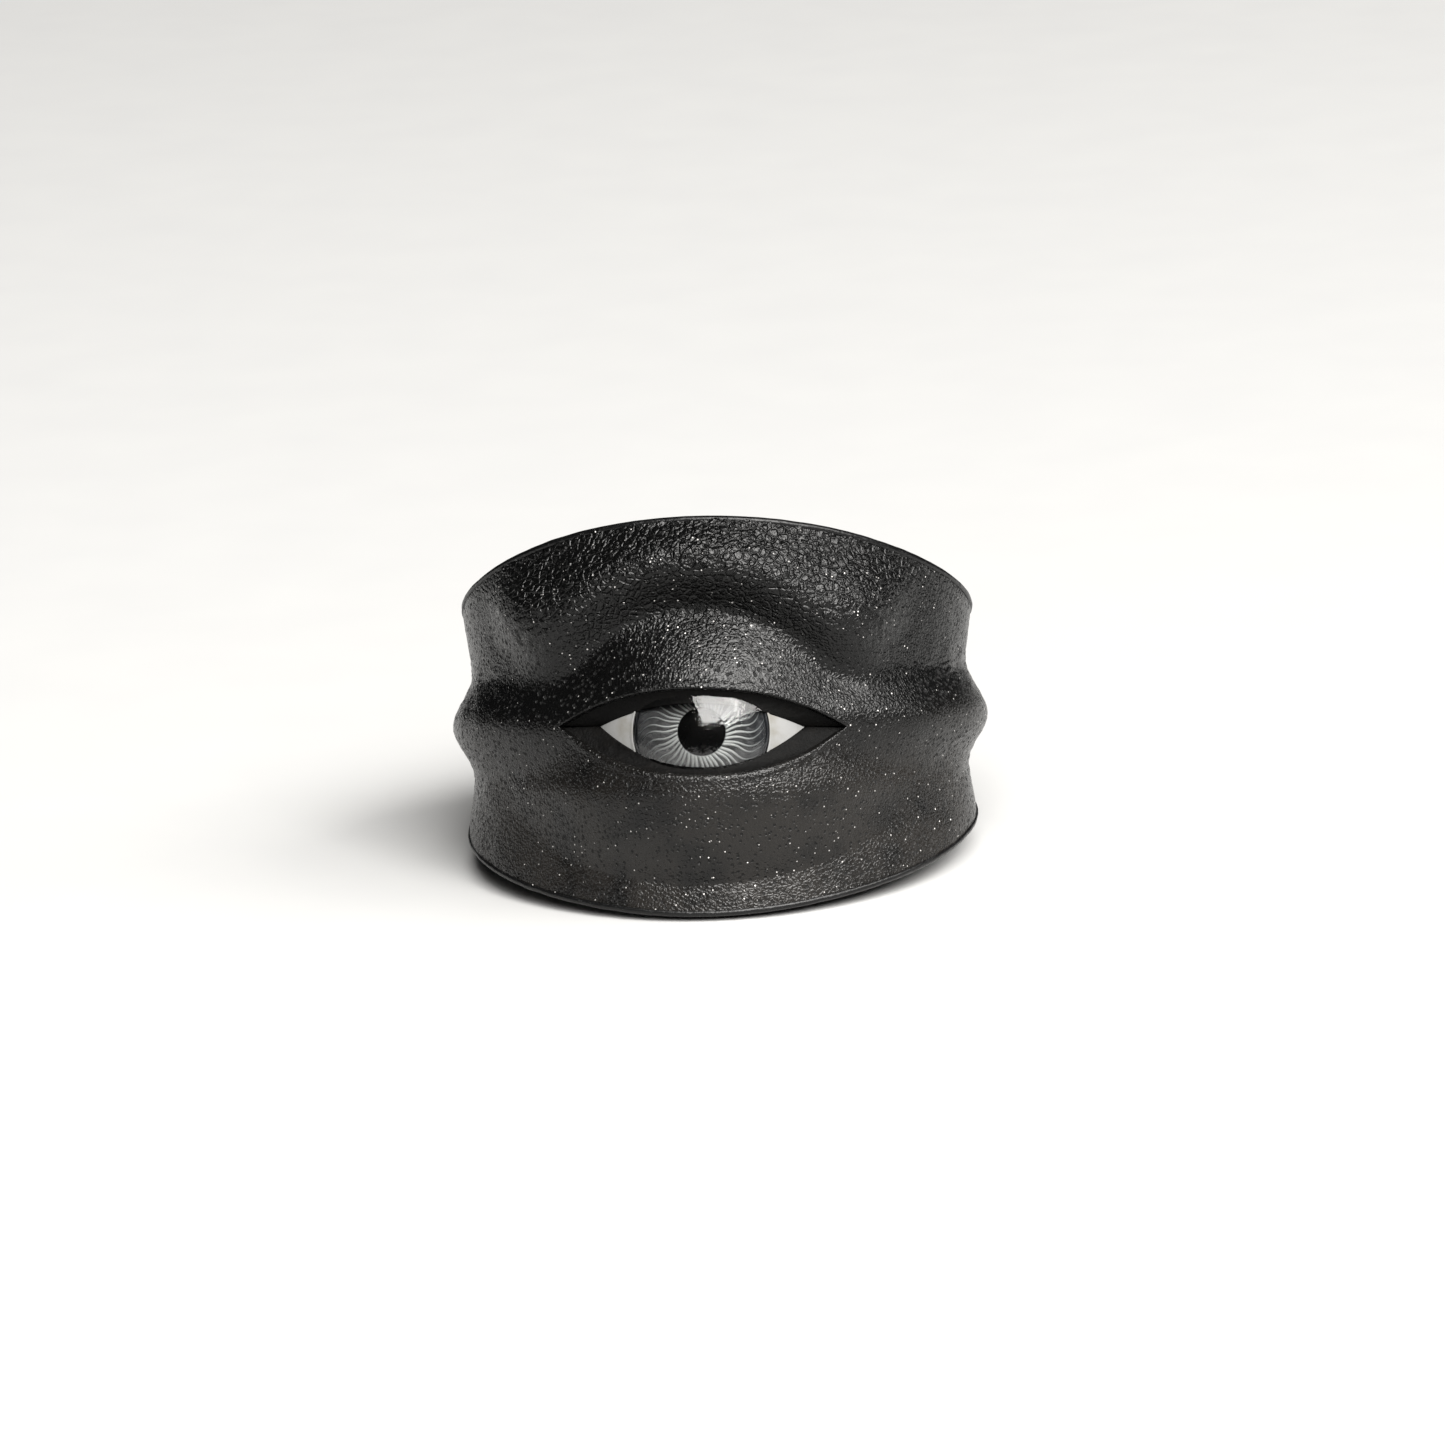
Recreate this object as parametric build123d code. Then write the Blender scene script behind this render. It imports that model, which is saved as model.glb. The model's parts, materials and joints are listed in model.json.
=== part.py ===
from build123d import *

import os
from math import atan2, cos, degrees, pi, radians, sin, sqrt

# A black leather finger ring with a glass eye behind moulded eyelids.
#
# Every piece is modelled about the finger hole: its axis is Z and the eye looks along -Y. The last step leans
# the finished ring back onto its lower edge, as it stands on a table, with the origin under its middle.

# ---- driving dimensions, millimetres and degrees ----
FINGER_RADIUS = 9.0
LINING_THICKNESS = 0.8
COVER_THICKNESS = 1.2
GLUE_LINE = 0.08  # between the layers
EDGE_COAT = 0.15  # painted bead on the cut edges

FRONT_HALF_HEIGHT = 8.96  # of the band at the eye
SIDE_HALF_HEIGHT = 5.1
BACK_HALF_HEIGHT = 3.3

RIDGE_HEIGHT = 0.95  # the swelling that runs round the band level with the eye
RIDGE_HALF_WIDTH = 2.45
RIDGE_Z = -0.2
RIDGE_FADE = (115, 150)  # the turn from the eye over which the ridge dies away
FLARE = 0.35  # how far the band's edges stand out at the front and sides, and half that at the back
FLARE_FADE = (120, 160)

BROW_HEIGHT = 1.3
BROW_TOP_Z = 7.05
BROW_DROP = 0.09  # the arch falls by this times the square of the distance from its middle
BROW_SHIFT = -0.4  # the arch's middle, towards -X
BROW_UPPER_WIDTH, BROW_LOWER_WIDTH = 3.2, 1.8
BROW_FADE = (4.0, 9.0)  # the distance sideways over which the brow dies away

EYE_Z = -0.55
EYE_DEPTH = 6.4  # the glass ball's centre, in front of the finger axis
EYE_RADIUS = 6.0
EYE_SHELL = 0.8
EYE_BACK = 10.0  # the glass is cut off flat here, in front of the finger axis
LID_INNER_RADIUS, LID_OUTER_RADIUS = 6.2, 6.7  # the skived leather over the glass
SKIN_BLEND = 1.2  # how widely the lids run into the band
IRIS_RADIUS = 3.0
IRIS_BACK, IRIS_FRONT = 11.05, 11.35
PUPIL_RADIUS = 1.05
CORNEA_CURVE = 5.2
CORNEA_BACK = 11.52
PUPIL_PROUD = 0.1
LIMBUS_WIDTH, LIMBUS_THICKNESS = 0.17, 0.1
BED_RADIUS, BED_DEPTH = 4.9, 2.5
THREAD_COUNT = 36
THREAD_WIDTH = 0.11
THREAD_HEIGHT = 0.06
THREAD_SWAY, THREAD_SWEEP = radians(14), radians(20)  # the S and the overall turn of each thread

SLIT_HALF_WIDTH, SLIT_CORNER_Z = 6.35, -0.4
SLIT_TOP_Z, SLIT_BOTTOM_Z = 1.28, -2.62
OPENING_HALF_WIDTH = 4.5
OPENING_TOP_Z, OPENING_BOTTOM_Z = 0.63, -2.12
FACING_SUNK = 0.15  # below the lids' outer face

LAP_STEP = 0.45  # the outer end of the cover lies this much proud at the back
LAP_ROOT = 0.5  # how deep the tongue is rooted in the cover
LAP_START, LAP_FULL, LAP_END = 150, 170, 192  # the turn from the eye
STITCH_DIAMETER, STITCH_LENGTH, STITCH_PITCH = 0.4, 1.05, 1.5
STITCH_COLUMNS = (173, 186)
STITCH_ROWS = (-1, 0, 1)
STITCH_LEG = 0.9

FORMER_EDGE = 0.12  # the formers are pared down to this at their edges
FORMER_RIM_GAP = 0.4  # and stop this far short of the band's edges
FORMER_LID_GAP = 0.3
RIDGE_FORMER_START = 6.8  # sideways from the eye
BROW_FORMER_FOOT_Z = 3.9

CLEAR = 0.02  # between pieces that only touch

# ---- derived ----
LINING_RADIUS = FINGER_RADIUS + LINING_THICKNESS
COVER_INNER = LINING_RADIUS + GLUE_LINE
COVER_OUTER = COVER_INNER + COVER_THICKNESS
RIM_RADIUS = COVER_OUTER + FLARE
REACH = 16.0  # half the size of every cutting block
SKIN_HALF_HEIGHT = FRONT_HALF_HEIGHT + 0.64  # the moulded skins run past the band's edges
SECTION_COUNT, SECTION_POINTS = 19, 60


def half_height(y):
    """Half the band's height at y behind the finger axis: a parabola through front, side and back."""
    slope = (BACK_HALF_HEIGHT - FRONT_HALF_HEIGHT) / (2 * RIM_RADIUS)
    bow = ((BACK_HALF_HEIGHT + FRONT_HALF_HEIGHT) / 2 - SIDE_HALF_HEIGHT) / RIM_RADIUS**2
    return SIDE_HALF_HEIGHT + slope * y + bow * y * y


LEAN = degrees(atan2(FRONT_HALF_HEIGHT - BACK_HALF_HEIGHT, 2 * RIM_RADIUS))


def swell(t):
    """A smooth hump: 1 at t = 0, and 0 from t = 1 on."""
    return 0.5 * (1 + cos(pi * min(abs(t), 1.0)))


def fade(value, start, end):
    """1 before start, 0 after end, and smooth between."""
    return swell(max(0.0, (value - start) / (end - start)))


def smooth_max(a, b, width):
    overlap = max(width - abs(a - b), 0.0) / width
    return max(a, b) + overlap * overlap * width / 4


def ball_reach(angle, z, radius):
    """How far from the finger axis a ball about the eye's centre reaches, at an angle and a height."""
    along = EYE_DEPTH * cos(angle)
    inside = along**2 - EYE_DEPTH**2 - (z - EYE_Z) ** 2 + radius**2
    return along + sqrt(inside) if inside > 0 and along > 0 else 0.0


def relief(angle, z):
    """What the ridge and the brow add to the cover."""
    turn = abs(degrees(angle))
    ridge = RIDGE_HEIGHT * swell((z - RIDGE_Z) / RIDGE_HALF_WIDTH) * fade(turn, *RIDGE_FADE)
    if turn >= 90:
        return ridge
    x = COVER_OUTER * sin(angle)
    above = z - (BROW_TOP_Z - BROW_DROP * (x - BROW_SHIFT) ** 2)
    width = BROW_UPPER_WIDTH if above > 0 else BROW_LOWER_WIDTH
    return ridge + BROW_HEIGHT * swell(above / width) * fade(abs(x), *BROW_FADE)


def outer_radius(angle, z):
    share = min(abs(z) / half_height(-RIM_RADIUS * cos(angle)), 1.0)
    flare = FLARE * swell(1 - share**2) * (0.5 + 0.5 * fade(abs(degrees(angle)), *FLARE_FADE))
    plain = COVER_OUTER + flare + relief(angle, z)
    return smooth_max(plain, ball_reach(angle, z, LID_OUTER_RADIUS), SKIN_BLEND)


def inner_radius(angle, z):
    return smooth_max(COVER_INNER + relief(angle, z), ball_reach(angle, z, LID_INNER_RADIUS), SKIN_BLEND)


def moulded_solid(radius_at, inset=0.0):
    """A solid whose side is a smooth skin through closed level curves; radius_at gives each curve."""
    levels = []
    for i in range(SECTION_COUNT):
        z = (2 * i / (SECTION_COUNT - 1) - 1) * SKIN_HALF_HEIGHT
        points = []
        for k in range(SECTION_POINTS):
            angle = 2 * pi * k / SECTION_POINTS - pi
            r = radius_at(angle, z) - inset
            points.append((r * sin(angle), -r * cos(angle), z))
        levels.append(Face(Wire([Edge.make_spline([Vector(*p) for p in points], periodic=True)])))
    return loft(levels)


def band_block(inset=0.0):
    """The block, seen from the side, that trims every layer to the band's height."""
    ends = [(y, half_height(y) - inset) for y in (-REACH, 0, REACH)]
    with BuildPart() as block:
        with BuildSketch(Plane.YZ):
            with BuildLine():
                upper = ThreePointArc(*ends)
                lower = ThreePointArc(*[(y, -z) for y, z in ends])
                Line(upper @ 0, lower @ 0)
                Line(upper @ 1, lower @ 1)
            make_face()
        extrude(amount=REACH, both=True)
    return block.part


def almond_block(half_width, top, bottom, near=EYE_DEPTH, far=REACH):
    """A lens-shaped block along Y, between two distances in front of the finger axis."""
    with BuildPart() as block:
        with BuildSketch(Plane.XZ.offset(near)):
            with BuildLine():
                left, right = (-half_width, SLIT_CORNER_Z), (half_width, SLIT_CORNER_Z)
                ThreePointArc(left, (0, top), right)
                ThreePointArc(left, (0, bottom), right)
            make_face()
        extrude(amount=far - near)
    return block.part


def pillar(radius):
    """A long cylinder about the finger axis."""
    return Cylinder(radius, 2 * REACH)


def eye_rod(radius, near, far):
    """A cylinder along the eye's axis, between two distances in front of the finger axis."""
    along = Pos(0, -near, EYE_Z) * Rot(90, 0, 0)
    return along * Cylinder(radius, far - near, align=(Align.CENTER, Align.CENTER, Align.MIN))


def eye_ball(radius):
    return Pos(0, -EYE_DEPTH, EYE_Z) * Sphere(radius)


# ---- the glass eye, from its white shell to its clear front ----
def eye_white():
    """Opal glass: a hollow cap of a ball, cut flat behind, with a round seat for the iris."""
    cap = (eye_ball(EYE_RADIUS) - eye_ball(EYE_RADIUS - EYE_SHELL)) & eye_rod(EYE_RADIUS, EYE_BACK, REACH)
    return cap - eye_rod(IRIS_RADIUS, EYE_BACK - 1, REACH)


def iris_disc():
    disc = eye_rod(IRIS_RADIUS - CLEAR, IRIS_BACK, IRIS_FRONT)
    return disc - eye_rod(PUPIL_RADIUS + CLEAR, EYE_BACK, REACH)


def pupil():
    return eye_rod(PUPIL_RADIUS, IRIS_BACK, IRIS_FRONT + PUPIL_PROUD)


def limbus_ring():
    """A thin dark glass ring at the edge of the iris."""
    ring = eye_rod(IRIS_RADIUS - CLEAR, IRIS_FRONT + CLEAR, IRIS_FRONT + CLEAR + LIMBUS_THICKNESS)
    return ring - eye_rod(IRIS_RADIUS - LIMBUS_WIDTH, EYE_BACK, REACH)


def iris_threads():
    """White glass threads laid on the iris, each an S from the pupil outwards, joined round the pupil."""
    start, end = PUPIL_RADIUS + 0.08, IRIS_RADIUS - 0.25
    path = []
    for i in range(6):
        share = i / 5
        radius = start + (end - start) * share
        turn = THREAD_SWAY * sin(2 * pi * share) + THREAD_SWEEP * share
        path.append((radius * cos(turn), radius * sin(turn)))
    strip = trace(Spline(*path), THREAD_WIDTH)
    layer = Circle(start + THREAD_WIDTH) - Circle(start - CLEAR)
    for i in range(THREAD_COUNT):
        layer += Rot(0, 0, 360 * i / THREAD_COUNT) * strip
    front = Plane.XZ.offset(IRIS_FRONT + CLEAR)
    return Pos(0, 0, EYE_Z) * front.location * extrude(layer, THREAD_HEIGHT)


def cornea_ball(gap=0.0):
    """The ball whose front is the clear dome, meeting the white at the edge of the iris."""
    centre = EYE_DEPTH + sqrt(EYE_RADIUS**2 - IRIS_RADIUS**2) - sqrt(CORNEA_CURVE**2 - IRIS_RADIUS**2)
    return Pos(0, -centre, EYE_Z) * Sphere(CORNEA_CURVE + gap)


def cornea():
    """Clear glass: a short drum over the iris with a domed front."""
    return cornea_ball() & eye_rod(IRIS_RADIUS - CLEAR, CORNEA_BACK, REACH)


def eye_bed():
    """Hardened paste that beds the glass on the lining."""
    behind_the_iris = eye_rod(EYE_RADIUS, EYE_BACK - CLEAR, IRIS_BACK - CLEAR)
    cup = eye_ball(EYE_RADIUS - EYE_SHELL - CLEAR) & behind_the_iris
    flange = eye_rod(BED_RADIUS, EYE_BACK - BED_DEPTH, EYE_BACK - CLEAR)
    return cup + flange - pillar(COVER_INNER)


# ---- leather ----
def lining_band():
    ring = pillar(LINING_RADIUS) - pillar(FINGER_RADIUS)
    return ring & band_block(EDGE_COAT)


def lap_tongue():
    """The end of the cover that lies over its other end at the back. It ramps up to a cut edge."""

    def at(turn, radius):
        return (radius * sin(radians(turn)), -radius * cos(radians(turn)))

    top = COVER_OUTER + LAP_STEP
    root = COVER_OUTER - LAP_ROOT
    with BuildPart() as tongue:
        with BuildSketch(Plane.XY.offset(-REACH / 2)):
            with BuildLine():
                halfway = at((LAP_START + LAP_FULL) / 2, (COVER_OUTER + top) / 2)
                ramp = Spline(at(LAP_START, COVER_OUTER), halfway, at(LAP_FULL, top))
                flat = ThreePointArc(ramp @ 1, at((LAP_FULL + LAP_END) / 2, top), at(LAP_END, top))
                step = Line(flat @ 1, at(LAP_END, root))
                under = ThreePointArc(step @ 1, at(LAP_FULL, root), at(LAP_START, root))
                Line(under @ 1, ramp @ 0)
            make_face()
        extrude(amount=REACH)
    return tongue.part


def lap_stitches(gap=0.0):
    """Short waxed stitches in two columns through the lap, each a staple with its legs in the leather."""
    radius = STITCH_DIAMETER / 2 + gap
    lie = COVER_OUTER + LAP_STEP + STITCH_DIAMETER / 4
    half = STITCH_LENGTH / 2 - STITCH_DIAMETER / 2
    leg = Rot(0, 90, 0) * Cylinder(radius, STITCH_LEG + gap, align=(Align.CENTER, Align.CENTER, Align.MAX))
    staple = Cylinder(radius, 2 * half)
    for end in (-half, half):
        staple = staple + Pos(0, 0, end) * Sphere(radius) + Pos(0, 0, end) * leg
    return [
        Rot(0, 0, turn - 90) * Pos(lie, 0, row * STITCH_PITCH) * staple
        for turn in STITCH_COLUMNS
        for row in STITCH_ROWS
    ]


def outer_cover(outside, inside):
    """The moulded outer leather, one strip whose ends lap at the back, with the slit for the eye."""
    skin = (outside - inside + lap_tongue()) & band_block(EDGE_COAT)
    skin = skin - almond_block(SLIT_HALF_WIDTH, SLIT_TOP_Z, SLIT_BOTTOM_Z)
    return skin - lap_stitches(CLEAR)


def filling(inside):
    """Everything between the lining and the cover, where there is room for a former."""
    return (inside & band_block(EDGE_COAT + FORMER_RIM_GAP)) - pillar(COVER_INNER + FORMER_EDGE)


def brow_former(hollow):
    """Stacked leather, carved to hold up the brow."""
    zone = Pos(0, -REACH, BROW_FORMER_FOOT_Z + REACH) * Box(2 * REACH, 2 * REACH, 2 * REACH)
    return (hollow & zone) - eye_ball(LID_INNER_RADIUS + FORMER_LID_GAP)


def ridge_former(hollow, side):
    """Stacked leather, carved to hold up the ridge on one side of the eye."""
    beside_the_eye = Pos(side * (REACH + RIDGE_FORMER_START), 0, RIDGE_Z)
    zone = beside_the_eye * Box(2 * REACH, 2 * REACH, 2 * RIDGE_HALF_WIDTH)
    return (hollow & zone) - eye_ball(LID_INNER_RADIUS + FORMER_LID_GAP)


def lid_facing(side):
    """A dark strip that lines one lid's edge, sloping from the slit down to the glass."""
    slit = almond_block(SLIT_HALF_WIDTH - CLEAR, SLIT_TOP_Z - CLEAR, SLIT_BOTTOM_Z + CLEAR)
    opening = almond_block(OPENING_HALF_WIDTH, OPENING_TOP_Z, OPENING_BOTTOM_Z)
    strip = slit & (eye_ball(LID_OUTER_RADIUS - FACING_SUNK) - eye_ball(EYE_RADIUS + CLEAR))
    strip = strip - opening - cornea_ball(CLEAR) - pillar(COVER_INNER + FORMER_EDGE)
    half = Pos(0, -REACH, SLIT_CORNER_Z + side * (REACH + CLEAR)) * Box(2 * REACH, 2 * REACH, 2 * REACH)
    return strip & half


def edge_slab(side):
    """The thin curved block that holds one cut edge's coat: side 1 is the upper edge, -1 the lower."""
    outer_arc = [(y, side * half_height(y)) for y in (-REACH, 0, REACH)]
    inner_arc = [(y, side * (half_height(y) - EDGE_COAT + CLEAR)) for y in (-REACH, 0, REACH)]
    with BuildPart() as slab:
        with BuildSketch(Plane.YZ):
            with BuildLine():
                far = ThreePointArc(*outer_arc)
                near = ThreePointArc(*inner_arc)
                Line(far @ 0, near @ 0)
                Line(far @ 1, near @ 1)
            make_face()
        extrude(amount=REACH, both=True)
    return slab.part


def rim_column(side):
    """The cover's outline at one cut edge, carried straight along the finger axis."""
    points = []
    for k in range(SECTION_POINTS):
        angle = 2 * pi * k / SECTION_POINTS - pi
        z = side * half_height(-RIM_RADIUS * cos(angle))
        r = outer_radius(angle, z)
        points.append(Vector(r * sin(angle), -r * cos(angle), -REACH))
    return extrude(Face(Wire([Edge.make_spline(points, periodic=True)])), 2 * REACH, dir=(0, 0, 1))


def edge_coat(side):
    """The painted bead on one cut edge, from the finger hole to the outer face."""
    slab = edge_slab(side)
    return (slab & rim_column(side)) + (slab & lap_tongue()) - pillar(FINGER_RADIUS)


# ---- build every piece, lean the ring back onto its lower edge, and write one file each ----
hollow = filling(moulded_solid(inner_radius, CLEAR))

pieces = {
    "outer_cover": outer_cover(moulded_solid(outer_radius), moulded_solid(inner_radius)),
    "lining_band": lining_band(),
    "upper_lid_facing": lid_facing(1),
    "lower_lid_facing": lid_facing(-1),
    "brow_former": brow_former(hollow),
    "ridge_former_left": ridge_former(hollow, -1),
    "ridge_former_right": ridge_former(hollow, 1),
    "upper_edge_coat": edge_coat(1),
    "lower_edge_coat": edge_coat(-1),
    "eye_white": eye_white(),
    "iris_disc": iris_disc(),
    "iris_threads": iris_threads(),
    "limbus_ring": limbus_ring(),
    "pupil": pupil(),
    "cornea": cornea(),
    "eye_bed": eye_bed(),
}

for number, stitch in enumerate(lap_stitches(), 1):
    pieces[f"lap_stitch_{number}"] = stitch

leaning = {name: Rot(-LEAN, 0, 0) * piece for name, piece in pieces.items()}
extent = Compound(children=[Compound(piece.solids()) for piece in leaning.values()]).bounding_box()
stand = Pos(-extent.center().X, -extent.center().Y, -extent.min.Z)

os.makedirs("parts", exist_ok=True)
for name, piece in leaning.items():
    export_step(stand * piece, f"parts/{name}.step")
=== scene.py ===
import json
import math

import bmesh
import bpy
from mathutils import Matrix, Vector, noise


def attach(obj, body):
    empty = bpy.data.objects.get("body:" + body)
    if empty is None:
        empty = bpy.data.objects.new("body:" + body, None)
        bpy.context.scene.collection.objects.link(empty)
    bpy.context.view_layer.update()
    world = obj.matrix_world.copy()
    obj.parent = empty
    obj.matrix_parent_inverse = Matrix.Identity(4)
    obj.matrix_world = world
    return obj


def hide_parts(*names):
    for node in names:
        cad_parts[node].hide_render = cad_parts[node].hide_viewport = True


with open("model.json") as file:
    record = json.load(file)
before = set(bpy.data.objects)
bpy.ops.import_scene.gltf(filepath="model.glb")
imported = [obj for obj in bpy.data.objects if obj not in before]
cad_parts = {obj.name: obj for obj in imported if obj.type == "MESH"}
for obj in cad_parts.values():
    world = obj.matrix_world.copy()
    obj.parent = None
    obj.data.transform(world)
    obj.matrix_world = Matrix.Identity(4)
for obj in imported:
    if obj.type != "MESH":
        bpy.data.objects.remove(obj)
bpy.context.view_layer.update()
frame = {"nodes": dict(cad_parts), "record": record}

# A black leather finger ring with a glass eye behind moulded eyelids, standing on its lower edge.

# ---- The lining ----
# A plain band of thin black calf, skived and glued into a hoop, which makes the finger hole. Its flesh side
# is hidden and its grain side, polished by the finger, shows inside the ring.

MILLIMETRE = 0.001


class Wire:
    """One output in a material. Arithmetic on it adds Math nodes, and node() adds any other node."""

    def __init__(self, tree, socket=None):
        self.tree = tree
        self.socket = socket

    def node(self, kind, settings=None, inputs=None, output=0):
        made = self.tree.nodes.new("ShaderNode" + kind)
        for key, value in (settings or {}).items():
            setattr(made, key, value)
        for key, value in (inputs or {}).items():
            if isinstance(value, Wire):
                self.tree.links.new(value.socket, made.inputs[key])
            else:
                made.inputs[key].default_value = value
        return Wire(self.tree, made.outputs[output])

    def maths(self, operation, *values):
        return self.node("Math", {"operation": operation}, dict(enumerate(values)))

    def __add__(self, other):
        return self.maths("ADD", self, other)

    def __sub__(self, other):
        return self.maths("SUBTRACT", self, other)

    def __rsub__(self, other):
        return self.maths("SUBTRACT", other, self)

    def __mul__(self, other):
        return self.maths("MULTIPLY", self, other)

    def __pow__(self, other):
        return self.maths("POWER", self, other)

    __radd__ = __add__
    __rmul__ = __mul__

    def clamp(self):
        return self.node("Clamp", {}, {0: self})

    def step(self, low, high):
        """0 below low, 1 above high, and smooth between."""
        settings = {"interpolation_type": "SMOOTHSTEP"}
        return self.node("MapRange", settings, {"Value": self, "From Min": low, "From Max": high})

    def blend(self, off, on):
        """One colour where this is 0 and the other where it is 1."""
        return self.node("Mix", {"data_type": "RGBA"}, {0: self, 6: off, 7: on}, 2)


def grey(level, tint=(1.0, 1.0, 1.0)):
    return (level * tint[0], level * tint[1], level * tint[2], 1.0)


def new_finish(name):
    """A material, the place on the object in millimetres, and the material's shader."""
    material = bpy.data.materials.new(name)
    material.use_nodes = True
    tree = material.node_tree
    metres = Wire(tree).node("TexCoord", {}, {}, "Object")
    place = metres.node("VectorMath", {"operation": "SCALE"}, {0: metres, "Scale": 1 / MILLIMETRE})
    return material, place, tree.nodes["Principled BSDF"]


def plug(shader, **sockets):
    """Sets or links a shader's sockets, named with underscores."""
    for name, value in sockets.items():
        socket = shader.inputs[name.replace("_", " ")]
        if isinstance(value, Wire):
            value.tree.links.new(value.socket, socket)
        else:
            socket.default_value = value


def spots(place, size, feature="F1"):
    """Distance from scattered points, in units of their spacing."""
    inputs = {"Vector": place, "Scale": 1 / size}
    return place.node("TexVoronoi", {"feature": feature}, inputs, "Distance")


def cloud(place, size, detail=3.0, rough=0.55):
    """Soft noise about 0.5."""
    inputs = {"Vector": place, "Scale": 1 / size, "Detail": detail, "Roughness": rough}
    return place.node("TexNoise", {}, inputs, 0)


def bumped(height, distance, strength=1.0):
    inputs = {"Height": height, "Distance": distance * MILLIMETRE, "Strength": strength}
    return height.node("Bump", {}, inputs)


def lining_leather():
    material, place, shader = new_finish("lining_leather")
    grain = spots(place, 0.25, feature="SMOOTH_F1")
    worn = cloud(place, 3.0).step(0.4, 0.7)
    plug(shader, Base_Color=worn.blend(grey(0.012), grey(0.026, (1.0, 0.93, 0.88))))
    plug(shader, Roughness=0.52 - 0.16 * worn + 0.1 * cloud(place, 0.5))
    plug(shader, Normal=bumped(grain + cloud(place, 0.12), 0.03, 0.5))
    return material


def repaint(node, material):
    """Gives a part that keeps its own shape a finish."""
    part = frame["nodes"][node]
    for place in part.material_slots:
        place.material = material


repaint("lining_band", lining_leather())

# ---- The formers and the eye's bed ----
# Leather offcuts glued in layers and carved, which hold up the brow and the ridge, and a bed of hardened
# putty behind the glass. The cover hides them all.

LAYERS_PER_MM = 4.0


def raw_leather():
    material, place, shader = new_finish("raw_leather")
    layered = place.node("SeparateXYZ", {}, {0: place}, "Z") * LAYERS_PER_MM
    layers = layered.maths("FRACT", layered).step(0.0, 0.2)
    fibre = cloud(place, 0.3)
    tan = (1.0, 0.7, 0.45)
    plug(shader, Base_Color=(layers * fibre).clamp().blend(grey(0.1, tan), grey(0.3, tan)))
    plug(shader, Roughness=0.7 + 0.2 * fibre)
    plug(shader, Normal=bumped(fibre, 0.05))
    return material


def hardened_putty():
    material, place, shader = new_finish("hardened_putty")
    lumps = cloud(place, 0.8)
    plug(shader, Base_Color=lumps.blend(grey(0.25, (1.0, 0.95, 0.85)), grey(0.4, (1.0, 0.95, 0.85))))
    plug(shader, Roughness=0.75 + 0.2 * lumps)
    plug(shader, Normal=bumped(lumps, 0.1))
    return material


offcuts = raw_leather()
for former in ("brow_former", "ridge_former_left", "ridge_former_right"):
    repaint(former, offcuts)
repaint("eye_bed", hardened_putty())

# ---- The eye's white ----
# An opal glass cap, blown as part of a ball and cut off flat, with a round seat ground for the iris. The
# ground seat leaves a fine raised edge, and the white has yellowed in soft patches.

# Everything is laid out about the finger hole, as the maker works on a ring mandrel: its axis is Z, the eye
# looks along -Y, and lengths are millimetres. The finished ring leans back onto the lower edge of its band.
hole = next(mount for mount in frame["record"]["mounts"] if mount["name"] == "finger_hole")
upright_to_leaning = Vector((0, 0, 1)).rotation_difference(Vector(hole["axis"])).to_matrix().to_4x4()
stand = Matrix.Translation(Vector(hole["pos_m"])) @ upright_to_leaning @ Matrix.Scale(MILLIMETRE, 4)

EYE_DEPTH = 6.4
EYE_Z = -0.58
EYE_RADIUS = 6.0
EYE_BACK = 10.0
IRIS_RADIUS = 3.0
WHITE_RINGS, WHITE_CROWDING = 40, 1.6
ROUND = 160
SEAT_EDGE, SEAT_WIDTH, SEAT_DROP = 0.025, 0.12, 0.06
SHELL = 0.8
WELD = 0.0005


def on_eye(radius, angle, depth):
    """A point at a distance from the eye's axis, an angle round it, and a depth in front of the hole's."""
    return (radius * math.cos(angle), -depth, EYE_Z + radius * math.sin(angle))


def ball_depth(radius):
    return EYE_DEPTH + math.sqrt(EYE_RADIUS**2 - radius**2)


def rings(profile, count=ROUND):
    """Rows round the eye's axis from (distance from the axis, depth) pairs."""
    turns = [2 * math.pi * k / count for k in range(count)]
    return [[on_eye(radius, angle, depth) for angle in turns] for radius, depth in profile]


def bump_at(value, middle, width):
    """A smooth hump of height 1 about a middle value, reaching 0 one width away."""
    return 0.5 * (1 + math.cos(math.pi * min(abs(value - middle) / width, 1.0)))


def skin(name, rows, closed_along=False, closed_across=False):
    """A smooth mesh through rows of points. closed_along joins each row's ends, and closed_across joins the
    last row to the first."""
    across, along = len(rows), len(rows[0])
    faces = []
    for r in range(across if closed_across else across - 1):
        for c in range(along if closed_along else along - 1):
            below, right = (r + 1) % across, (c + 1) % along
            faces.append((r * along + c, r * along + right, below * along + right, below * along + c))
    return solid(name, [point for row in rows for point in row], faces)


def solid(name, points, faces):
    """A smooth mesh object from points about the hole, with points closer than WELD joined."""
    mesh = bpy.data.meshes.new(name)
    mesh.from_pydata([stand @ Vector(point) for point in points], [], faces)
    shape = bmesh.new()
    shape.from_mesh(mesh)
    bmesh.ops.remove_doubles(shape, verts=shape.verts, dist=WELD * MILLIMETRE)
    bmesh.ops.recalc_face_normals(shape, faces=shape.faces)
    shape.to_mesh(mesh)
    shape.free()
    mesh.shade_smooth()
    made = bpy.data.objects.new(name, mesh)
    bpy.context.scene.collection.objects.link(made)
    return made


def stands_for(piece, slot, *nodes):
    """The piece moves with the ring and replaces the plain parts, which are hidden. The slot is not used.
    """
    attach(piece, "root")
    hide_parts(*nodes)


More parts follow.
